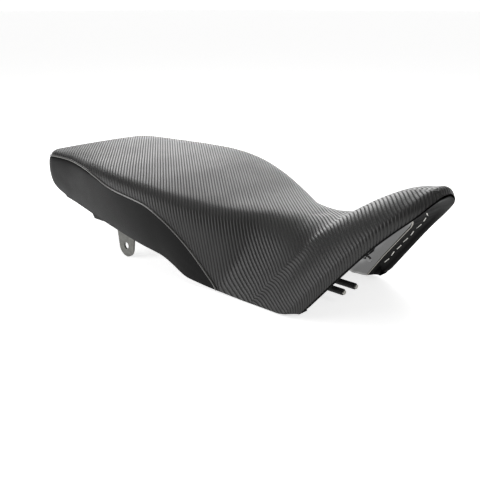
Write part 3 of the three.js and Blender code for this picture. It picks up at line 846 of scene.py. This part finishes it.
def swept(name, points, radius, material):
    """A round cord along a line of points in millimetres, made a mesh."""
    curve = bpy.data.curves.new(name, "CURVE")
    curve.dimensions = "3D"
    curve.bevel_depth = radius * 0.001
    curve.bevel_resolution = 3
    curve.use_fill_caps = True
    spline = curve.splines.new("POLY")
    spline.points.add(len(points) - 1)
    for target, point in zip(spline.points, points):
        target.co = (*(point * 0.001), 1.0)
    holder = bpy.data.objects.new(name, curve)
    bpy.context.scene.collection.objects.link(holder)
    mesh = bpy.data.meshes.new_from_object(holder.evaluated_get(bpy.context.evaluated_depsgraph_get()))
    bpy.data.objects.remove(holder)
    bpy.data.curves.remove(curve)
    mesh.name = name
    for polygon in mesh.polygons:
        polygon.use_smooth = True
    obj = bpy.data.objects.new(name, mesh)
    bpy.context.scene.collection.objects.link(obj)
    obj.data.materials.clear()
    obj.data.materials.append(material)
    return obj


def frame_at(point, tangent, normal):
    """A matrix in metres with X along the tangent and Z along the normal."""
    x = tangent.normalized()
    z = (normal - x * normal.dot(x)).normalized()
    y = z.cross(x)
    turned = Matrix((x, y, z)).transposed().to_4x4()
    return Matrix.Translation(point * 0.001) @ turned


def stitch_row(points, normals, length, thickness):
    """One rounded stitch at each place along a line, half sunk in the vinyl."""
    bm = bmesh.new()
    for n in range(0, len(points) - 1):
        tangent = points[n + 1] - points[n]
        if tangent.length < 1e-6:
            continue
        place = frame_at((points[n] + points[n + 1]) / 2, tangent, normals[n])
        shape = Matrix.Diagonal((length / 2 * 0.001, thickness / 2 * 0.001, thickness / 2 * 0.001, 1))
        bmesh.ops.create_uvsphere(bm, u_segments=6, v_segments=5, radius=1.0, matrix=place @ shape
                                  @ Matrix.Rotation(pi / 2, 4, "Y"))
    return bm


def evenly(points, pitch):
    """The same line, sampled every pitch millimetres."""
    result = [points[0]]
    left = pitch
    for a, b in zip(points, points[1:]):
        length = (b - a).length
        start = 0.0
        while length - start >= left:
            start += left
            result.append(a.lerp(b, start / length))
            left = pitch
        left -= length - start
    return result


def staple_shape(bm, place):
    """A wire staple's crown with its bent ends, pressed into the vinyl."""
    made = bmesh.ops.create_cube(bm, size=1.0, matrix=place @ Matrix.Diagonal((0.0102, 0.0013, 0.0006, 1)))
    edges = {e for v in made["verts"] for e in v.link_edges}
    bmesh.ops.bevel(bm, geom=list(edges), offset=0.0002, affect="EDGES", segments=2, profile=0.5, material=-1)
    for end in (-1, 1):
        leg = place @ Matrix.Translation((end * 0.0048, 0, -0.0007)) @ Matrix.Rotation(end * radians(35), 4, "Y")
        bmesh.ops.create_cube(bm, size=1.0, matrix=leg @ Matrix.Diagonal((0.0007, 0.0013, 0.0018, 1)))


# ------------------------------------------------------------------ pan
def pan_relief(t, k):
    """Steps moulded into the pan: a channel along the ceiling, a ledge along each wall and folds near the mouth."""
    y = abs(pan_face(t, k).y)
    channel = 3.0 * (1 - smoothstep(y, 15.0, 19.0)) * smoothstep(t, 0.52, 0.6)
    ledge = 2.4 * smoothstep(abs(k), 0.7, 0.73) * (1 - smoothstep(abs(k), 0.86, 0.89)) * smoothstep(t, 0.62, 0.7)
    folds = 1.7 * (1 + sin(abs(k) * 40.0 + t * 12.0)) * smoothstep(t, 0.8, 0.87) * smoothstep(abs(k), 0.4, 0.5)
    fade = 1 - smoothstep(t, 0.945, 0.962)
    return (ledge - channel + folds) * fade


def pan_shell_mesh():
    """The pan's inner face, from the tail wall to the mouth's hem."""
    rows = 96

    def place(i, j):
        k = -1 + 2 * j / rows
        t = mix(PAN_TAIL_T, hem_edge(k), i / 150)
        return pan_face(t, k, PAN_WALL + pan_relief(t, k))

    return grid(150, rows, place)


def pan_tail_mesh():
    """The flat wall that closes the pan at the tail."""
    def place(i, j):
        k = j / 40
        p = pan_face(PAN_TAIL_T, k)
        return Vector((p.x, p.y * (1 - i / 12), p.z))

    return grid(24, 40, place)


def rib_strip(bm, line, inward, thickness):
    """A stiffening rib with a square section that hangs from the pan's inner face along a line."""
    made = bmesh.ops.create_grid(bm, x_segments=len(line) - 1, y_segments=3, size=1.0)
    for v in made["verts"]:
        i = round((v.co.x + 1) / 2 * (len(line) - 1))
        j = round((v.co.y + 1) / 2 * 3)
        ahead = line[min(i + 1, len(line) - 1)] - line[max(i - 1, 0)]
        aside = ahead.cross(inward[i]).normalized() * (thickness / 2)
        depth = 6.0 if j in (1, 2) else -0.5
        taper = 0.75 if j in (1, 2) else 1.0
        v.co = (line[i] + inward[i] * depth + aside * taper * (1 if j < 2 else -1)) * 0.001


def pan_ribs_mesh():
    """Two long stiffening ribs and three across them."""
    bm = bmesh.new()

    def run(places):
        line = [pan_face(t, k) for t, k in places]
        inward = [(pan_face(t, k, PAN_WALL + 3.0) - p).normalized() for (t, k), p in zip(places, line)]
        rib_strip(bm, line, inward, 2.4)

    def k_for(t, y):
        return close_in(0.0, 1.0, 14, lambda k: pan_face(t, k).y < y)[0]

    for sign in (-1, 1):
        run([(t, sign * k_for(t, 36.0)) for t in (mix(0.09, 0.6, n / 60) for n in range(61))])
    for t in (0.133, 0.411, 0.532):
        reach = k_for(t, 74.0)
        run([(t, mix(-reach, reach, n / 40)) for n in range(41)])
    return bm


def block(bm, centre, size, bevel):
    """A block with bevelled edges, in millimetres."""
    made = bmesh.ops.create_cube(bm, size=1.0, matrix=Matrix.Translation(Vector(centre) * 0.001)
                                 @ Matrix.Diagonal((*(Vector(size) * 0.001), 1)))
    edges = {e for v in made["verts"] for e in v.link_edges}
    bmesh.ops.bevel(bm, geom=list(edges), offset=bevel * 0.001, affect="EDGES", segments=3, profile=0.5, material=-1)


def slot_mesh():
    """A long slot near the front of each side wall: a raised lip round a dark recess, with a round boss over it."""
    bm = bmesh.new()
    for sign in (-1, 1):
        t, k = 0.935, 0.84 * sign
        point = pan_face(t, k, PAN_WALL + pan_relief(t, k))
        ahead = pan_face(t + 0.01, k) - pan_face(t, k)
        inward = (pan_face(t, k, PAN_WALL + 3.0) - pan_face(t, k)).normalized()
        place = frame_at(point + inward * 0.3, ahead, inward)
        earlier = set(bm.verts)
        made = bmesh.ops.create_circle(bm, cap_ends=True, segments=32, radius=0.0042)
        for v in made["verts"]:
            v.co.x += 0.009 * (1 if v.co.x > 0 else -1)
        faces = [f for f in bm.faces if all(v in made["verts"] for v in f.verts)]
        for inset, rise in ((0.0010, 0.0009), (0.0005, 0.0), (0.0004, -0.0010), (0.0002, -0.0022)):
            bmesh.ops.inset_region(bm, faces=faces, thickness=inset, depth=0.0, use_boundary=True,
                                   use_even_offset=True)
            bmesh.ops.translate(bm, verts=list({v for f in faces for v in f.verts}), vec=(0, 0, rise))
        bmesh.ops.transform(bm, matrix=place, verts=[v for v in bm.verts if v not in earlier])
        boss_at = place @ Matrix.Translation((0.017, 0.0, 0.0010))
        bmesh.ops.create_cone(bm, cap_ends=True, segments=24, radius1=0.0048, radius2=0.0040, depth=0.003,
                              matrix=boss_at)
    return bm


def pan_pads_mesh():
    """The bracket's pad, the two tab pads and the two buffer shelves."""
    bm = bmesh.new()
    block(bm, (128.44, 0, 67.2), (38, 62, 12), 1.2)
    for sign in (-1, 1):
        block(bm, (-126.56, sign * 86.5, 83.2), (66, 36, 6), 1.0)
        block(bm, (-198.06, sign * 93.0, 63.7), (38, 22, 3), 0.8)
    return bm


# ------------------------------------------------------------------ settings and operators
class UpholsterySettings(bpy.types.PropertyGroup):
    rib_pitch: bpy.props.FloatProperty(
        name="Rib pitch", description="Distance between the embossed ribs, in millimetres", default=4.15)
    station_step: bpy.props.FloatProperty(
        name="Station step", description="Distance between the mesh's columns, in millimetres", default=4.2)
    piping_radius: bpy.props.FloatProperty(
        name="Piping radius", description="Radius of the cord in the seam, in millimetres", default=1.6)
    stitch_pitch: bpy.props.FloatProperty(
        name="Stitch pitch", description="Distance between stitches, in millimetres", default=4.6)
    pressure: bpy.props.FloatProperty(
        name="Pressure", description="How hard the cloth simulation swells the panels", default=2.0)
    cap: bpy.props.FloatProperty(
        name="Swell cap", description="Furthest the cloth may move a point", default=0.0014,
        subtype="DISTANCE", unit="LENGTH")


class HemSettings(bpy.types.PropertyGroup):
    staple_pitch: bpy.props.FloatProperty(
        name="Staple pitch", description="Distance between staples, in millimetres", default=18.0)
    staple_share: bpy.props.FloatProperty(
        name="Staple row", description="Where the staples lie across the hem, 0 at the rim", default=0.62)


class StageSettings(bpy.types.PropertyGroup):
    azimuth: bpy.props.FloatProperty(
        name="Azimuth", description="Camera direction round the seat, in degrees", default=43.8)
    elevation: bpy.props.FloatProperty(
        name="Elevation", description="Camera height above the horizon, in degrees", default=18.6)
    lens: bpy.props.FloatProperty(
        name="Lens", description="Focal length on a 36 mm sensor, in millimetres", default=52.5)
    place: bpy.props.FloatVectorProperty(
        name="Camera place", description="Where the camera stands", default=(0.7115, -0.7206, 0.3723),
        subtype="TRANSLATION", unit="LENGTH")


def on_surface(obj, path, offset_side):
    """Snaps a line beside the seam to a panel; gives points and normals in millimetres."""
    points = []
    normals = []
    for a, b in zip(path, path[1:]):
        tangent = (b - a).normalized()
        hit, position, normal, _ = obj.closest_point_on_mesh(a * 0.001)
        if not hit:
            continue
        aside = tangent.cross(normal) * offset_side
        hit, position, normal, _ = obj.closest_point_on_mesh((a + aside) * 0.001)
        points.append(position * 1000)
        normals.append(normal.copy())
    return points, normals


class SEAT_OT_upholstery(bpy.types.Operator):
    """Build the ribbed top, the smooth side panels, the piping and the stitching"""
    bl_idname = "seat.upholstery"
    bl_label = "Upholstery"

    def execute(self, context):
        s = context.scene.seat_upholstery
        panels = Panels(s.station_step)
        path = seam_path()
        tree = seam_tree(path)
        top = finish_piece(top_cover_mesh(panels, tree, s.rib_pitch), "TopUpholstery", ribbed_vinyl(s.rib_pitch),
                           outward=from_axis)
        puff(top, s.pressure, s.cap)
        refine(top)
        own(top, "ribbed_vinyl", "top_cover")
        sides = []
        for name, sign in (("Right", -1), ("Left", 1)):
            side = finish_piece(side_panel_mesh(panels, tree, sign), f"SidePanel{name}", material("grained"),
                                outward=from_axis)
            puff(side, s.pressure, s.cap)
            refine(side)
            own(side, "matte_vinyl", f"side_cover_{name.lower()}")
            sides.append(side)
        own(swept("SeamPiping", path, s.piping_radius, material("piping")), "matte_vinyl")
        context.view_layer.update()
        for name, side, sign in (("Right", sides[0], 1), ("Left", sides[1], -1)):
            half = [p for p in evenly(path, s.stitch_pitch) if p.y * sign < 0]
            points, normals = on_surface(side, half, 4.6)
            row = finish_piece(stitch_row(points, normals, 3.7, 0.75), f"Stitches{name}", material("thread"),
                               weld=1e-7)
            own(row, "matte_vinyl")
        return {"FINISHED"}


class SEAT_OT_hems(bpy.types.Operator):
    """Build the turned-in hems, their cut edge and the staples that hold them"""
    bl_idname = "seat.hems"
    bl_label = "Hems and staples"

    def execute(self, context):
        s = context.scene.seat_hems
        hem = material("hem")
        for name, sign in (("Right", -1), ("Left", 1)):
            own(finish_piece(lower_hem_mesh(sign), f"LowerHem{name}", hem,
                             outward=lambda c, n: -n.z), "matte_vinyl")
        own(finish_piece(tail_hem_mesh(), "TailHem", hem, outward=lambda c, n: -n.z), "matte_vinyl")
        mouth = finish_piece(mouth_hem_mesh(), "MouthHem", hem, outward=lambda c, n: n.x)
        refine(mouth)
        own(mouth, "ribbed_vinyl")
        own(finish_piece(mouth_cut_edge_mesh(), "MouthCutEdge", material("backing"), outward=lambda c, n: n.x),
            "ribbed_vinyl")
        context.view_layer.update()
        row = evenly([mouth_ring(-1 + 2 * n / 400, s.staple_share) for n in range(3, 398)], s.staple_pitch)
        bm = bmesh.new()
        for n in range(1, len(row) - 1):
            hit, position, normal, _ = mouth.closest_point_on_mesh(row[n] * 0.001)
            tangent = row[n + 1] - row[n - 1]
            turned = Matrix.Rotation(0.16 * sin(n * 2.3), 4, "Z")
            staple_shape(bm, frame_at(position * 1000 + normal * 0.35, tangent, normal) @ turned)
        own(finish_piece(bm, "MouthStaples", material("staple"), weld=1e-7), "zinc_steel")
        bm = bmesh.new()
        for sign in (-1, 1):
            line = evenly([skin(mix(0.02, 0.93, n / 300), sign) for n in range(301)], 24.0)
            for n in range(1, len(line) - 1):
                inner = line[n] + Vector((0, -sign * 9.6, 9.0))
                staple_shape(bm, frame_at(inner, line[n + 1] - line[n - 1], Vector((0, -sign, 0))))
        own(finish_piece(bm, "LowerStaples", material("staple"), weld=1e-7), "zinc_steel")
        return {"FINISHED"}


class SEAT_OT_pan(bpy.types.Operator):
    """Build the gloss pan: its shell, ribs, pads, and a slot with a boss on each wall"""
    bl_idname = "seat.pan"
    bl_label = "Pan"

    def execute(self, context):
        gloss = material("pan")
        shell = finish_piece(pan_shell_mesh(), "PanShell", gloss, outward=lambda c, n: -from_axis(c, n))
        solid = shell.modifiers.new("Wall", "SOLIDIFY")
        solid.thickness = 0.003
        solid.offset = -1
        own(shell, "pan_plastic", "seat_pan")
        own(finish_piece(pan_tail_mesh(), "PanTail", gloss, outward=lambda c, n: n.x), "pan_plastic")
        own(finish_piece(pan_ribs_mesh(), "PanRibs", gloss, smooth=False), "pan_plastic")
        own(finish_piece(pan_pads_mesh(), "PanPads", gloss, smooth=False), "pan_plastic")
        own(finish_piece(slot_mesh(), "PanSlots", gloss, smooth=False), "pan_plastic")
        return {"FINISHED"}


class SEAT_OT_fittings(bpy.types.Operator):
    """Finish the metal, rubber and foam pieces that come from the CAD frame"""
    bl_idname = "seat.fittings"
    bl_label = "Fittings"

    def execute(self, context):
        finishes = {"prong_bracket": "steel", "rear_tab": "steel", "rail_buffer": "rubber",
                    "prong_sleeve": "rubber"}
        own(finish_piece(foam_mesh(), "Foam", material("foam")), "seat_foam", "foam_core")
        for name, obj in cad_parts.items():
            finish = next((f for start, f in finishes.items() if name.startswith(start)), "zinc")
            obj.data.materials.clear()
            obj.data.materials.append(material(finish))
        return {"FINISHED"}


class SEAT_OT_stage(bpy.types.Operator):
    """Set the pale floor, the soft studio lights and the camera"""
    bl_idname = "seat.stage"
    bl_label = "Stage"

    def execute(self, context):
        s = context.scene.seat_stage
        floor = make_material("Acrylic table, white, lit from below", lambda tree: ((0.9, 0.9, 0.9, 1), 0.9, None),
                              numbers={"Emission Color": (1, 1, 1, 1), "Emission Strength": 0.72})
        bm = bmesh.new()
        bmesh.ops.create_grid(bm, x_segments=2, y_segments=2, size=40.0)
        bmesh.ops.translate(bm, verts=bm.verts, vec=(0, 0, -0.0005))
        finish_piece(bm, "Floor", floor, smooth=False)
        world = bpy.data.worlds.new("Studio")
        context.scene.world = world
        world.use_nodes = True
        tree = world.node_tree
        direction = add(tree, "TexCoord", (-900, 0), output="Generated")
        facing = add(tree, "VectorMath", (-700, 0), (direction, (-0.68, 0.73, 0.0)), output="Value",
                     operation="DOT_PRODUCT")
        share = add(tree, "Math", (-500, 0), (facing, 0.5, 0.5), operation="MULTIPLY_ADD")
        # a dim room with one bright sweep behind the seat
        sweep = add(tree, "ValToRGB", (-300, 0), [share], stops=(
            (0.2, (0.16, 0.16, 0.16, 1)), (0.6, (0.2, 0.2, 0.2, 1)),
            (0.86, (0.28, 0.28, 0.28, 1)), (0.94, (1.1, 1.1, 1.09, 1))))
        tree.links.new(sweep, tree.nodes["Background"].inputs["Color"])
        context.scene.view_settings.view_transform = "Standard"
        lamps = [
            ("Overhead", (-0.1, 0.1, 2.2), (0, 0, 0.1), 1.6, 14.0),
            ("Front", (1.5, 0.3, 1.1), (0.1, 0, 0.1), 0.7, 3.0),
            ("Back", (-1.2, 1.4, 0.85), (0, 0, 0.1), 1.5, 18.0),
            ("Side", (-0.75, -1.5, 0.5), (0.15, -0.1, 0.08), 1.3, 19.0),
        ]
        for name, place, target, size, power in lamps:
            data = bpy.data.lights.new(name, "AREA")
            data.shape = "SQUARE"
            data.size = size
            data.energy = power
            lamp = bpy.data.objects.new(name, data)
            lamp.location = place
            lamp.rotation_euler = (Vector(target) - Vector(place)).to_track_quat("-Z", "Y").to_euler()
            context.scene.collection.objects.link(lamp)
        a, e = radians(s.azimuth), radians(s.elevation)
        back = Vector((sin(a) * cos(e), -cos(a) * cos(e), sin(e)))
        data = bpy.data.cameras.new("Camera")
        data.lens = s.lens
        data.sensor_width = 36.0
        camera = bpy.data.objects.new("Camera", data)
        camera.location = s.place
        camera.rotation_euler = (-back).to_track_quat("-Z", "Y").to_euler()
        context.scene.collection.objects.link(camera)
        context.scene.camera = camera
        return {"FINISHED"}


class SEAT_PT_build(bpy.types.Panel):
    """The build's settings and steps, in the 3D view's sidebar"""
    bl_idname = "SEAT_PT_build"
    bl_label = "Motorcycle seat"
    bl_space_type = "VIEW_3D"
    bl_region_type = "UI"
    bl_category = "Seat"

    def draw(self, context):
        layout = self.layout
        for settings in (context.scene.seat_upholstery, context.scene.seat_hems, context.scene.seat_stage):
            box = layout.box()
            for name in settings.__annotations__:
                box.prop(settings, name)
        for operator in OPERATORS:
            layout.operator(operator.bl_idname)


SETTINGS = {
    "seat_upholstery": UpholsterySettings,
    "seat_hems": HemSettings,
    "seat_stage": StageSettings,
}
OPERATORS = (SEAT_OT_upholstery, SEAT_OT_hems, SEAT_OT_pan, SEAT_OT_fittings, SEAT_OT_stage)


def register():
    for cls in (*SETTINGS.values(), *OPERATORS, SEAT_PT_build):
        bpy.utils.register_class(cls)
    for name, cls in SETTINGS.items():
        setattr(bpy.types.Scene, name, bpy.props.PointerProperty(type=cls))


def unregister():
    for name in SETTINGS:
        delattr(bpy.types.Scene, name)
    for cls in reversed((*SETTINGS.values(), *OPERATORS, SEAT_PT_build)):
        bpy.utils.unregister_class(cls)


def main():
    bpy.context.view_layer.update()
    register()
    bpy.ops.seat.upholstery()
    bpy.ops.seat.hems()
    bpy.ops.seat.pan()
    bpy.ops.seat.fittings()
    bpy.ops.seat.stage()
    bpy.context.view_layer.update()


if __name__ == "__main__":
    main()
